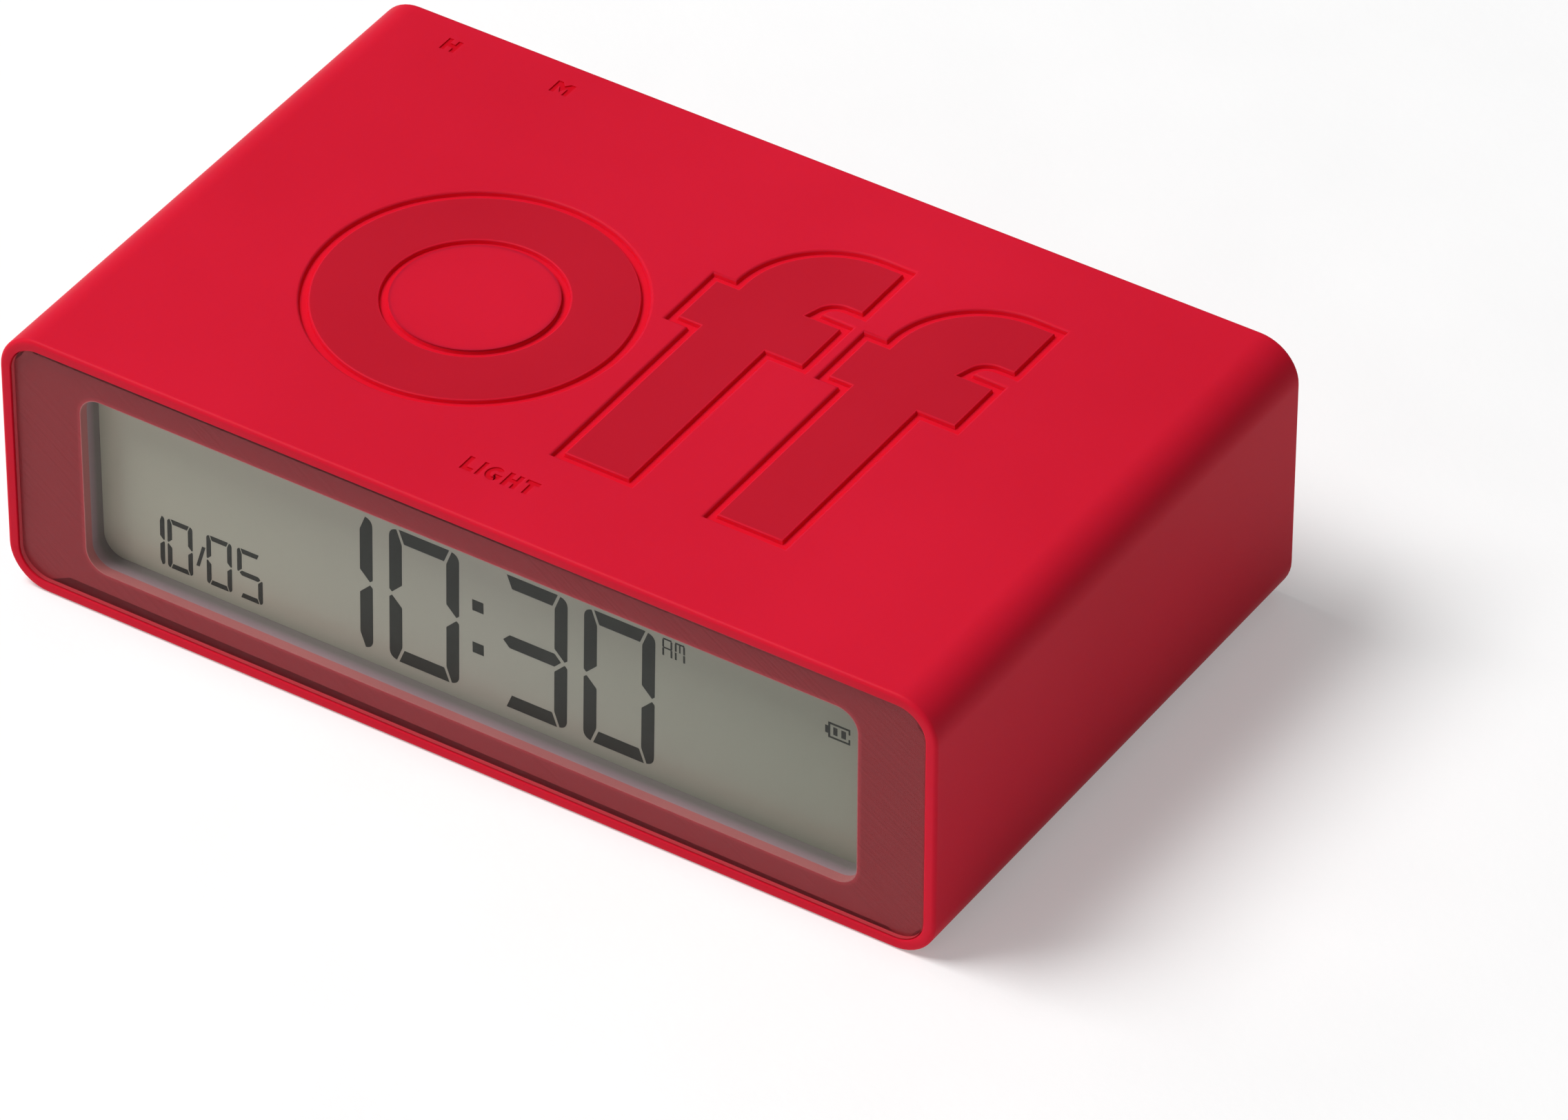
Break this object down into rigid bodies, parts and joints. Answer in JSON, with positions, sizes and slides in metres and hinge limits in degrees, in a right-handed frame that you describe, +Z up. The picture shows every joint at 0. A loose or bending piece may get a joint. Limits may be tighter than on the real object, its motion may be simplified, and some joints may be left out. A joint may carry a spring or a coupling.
{
  "type": "reversible digital alarm clock",
  "caption": "Low box-shaped desk clock in a soft sleeve with a display in its front, keys, a mode slider and a hinged battery door in its back, and a tilt switch that arms the alarm.",
  "frame": {"origin": "middle of the underside of the sleeve, which rests on the table", "axes": "+X to the right seen from the front, +Y to the back, +Z up; the display faces -Y"},
  "size_m": [0.104, 0.064, 0.03],
  "materials": {
    "red_silicone": "soft satin",
    "smoked_lens": "satin with a clear window",
    "red_plastic": "fine satin",
    "dark_plastic": "matte",
    "display_glass": "grey-green polarised glass",
    "clear_acrylic": "clear",
    "white_plastic": "satin",
    "grey_rubber": "matte",
    "green_board": "satin solder resist",
    "black_resin": "matte",
    "nickel": "bright nickel",
    "can_aluminium": "satin",
    "brass_disc": "satin",
    "white_film": "smooth film",
    "cell_jacket": "printed film",
    "screw_steel": "zinc plated"
  },
  "bodies": {
    "case": {"outer_sleeve": "red_silicone", "front_lens": "smoked_lens", "inner_case": "red_plastic", "rear_cover": "red_plastic", "lcd_holder": "dark_plastic", "lcd_panel": "display_glass", "light_guide": "clear_acrylic", "backlight_leds": "white_plastic", "zebra_strips": "grey_rubber", "main_board": "green_board", "clock_chip": "black_resin", "quartz_crystal": "nickel", "capacitor": "can_aluminium", "tilt_switch_can": "nickel", "tilt_switch_base": "black_resin", "buzzer_case": "black_resin", "piezo_disc": "brass_disc", "light_switch": "black_resin", "button_switches": "nickel", "mode_switch": "nickel", "button_board": "green_board", "ffc_sockets": "white_plastic", "ribbon_cable": "white_film", "upper_cell": "cell_jacket", "lower_cell": "cell_jacket", "plus_contact": "nickel", "minus_contact": "nickel", "bridge_contact": "nickel", "cover_screws": "screw_steel"},
    "hour_key": {"hour_button": "dark_plastic", "hour_plunger": "black_resin"},
    "minute_key": {"minute_button": "dark_plastic", "minute_plunger": "black_resin"},
    "light_key_body": {"light_key": "white_plastic", "light_plunger": "dark_plastic"},
    "slider": {"mode_slider": "dark_plastic"},
    "door": {"battery_door": "red_plastic"},
    "ball": {"tilt_ball": "nickel"}
  },
  "joints": [
    {"name": "hour_button_press", "type": "slide", "parent": "case", "child": "hour_key", "axis": [0, -1, 0], "range_m": [0, 0.0006], "stiffness_N_per_m": 1200, "springref_m": -0.0003},
    {"name": "minute_button_press", "type": "slide", "parent": "case", "child": "minute_key", "axis": [0, -1, 0], "range_m": [0, 0.0006], "stiffness_N_per_m": 1200, "springref_m": -0.0003},
    {"name": "light_key_press", "type": "slide", "parent": "case", "child": "light_key_body", "axis": [0, 0, -1], "range_m": [0, 0.0003], "stiffness_N_per_m": 2000, "springref_m": -0.0002},
    {"name": "mode_slider_slide", "type": "slide", "parent": "case", "child": "slider", "axis": [1, 0, 0], "range_m": [-0.002, 0.002]},
    {"name": "battery_door_swing", "type": "hinge", "parent": "case", "child": "door", "pos_m": [0.0439, 0.0311, 0.015], "axis": [0, 0, -1], "range_deg": [0, 75]},
    {"name": "tilt_ball_roll", "type": "slide", "parent": "case", "child": "ball", "axis": [0, 0, 1], "range_m": [0, 0.0049]}
  ]
}
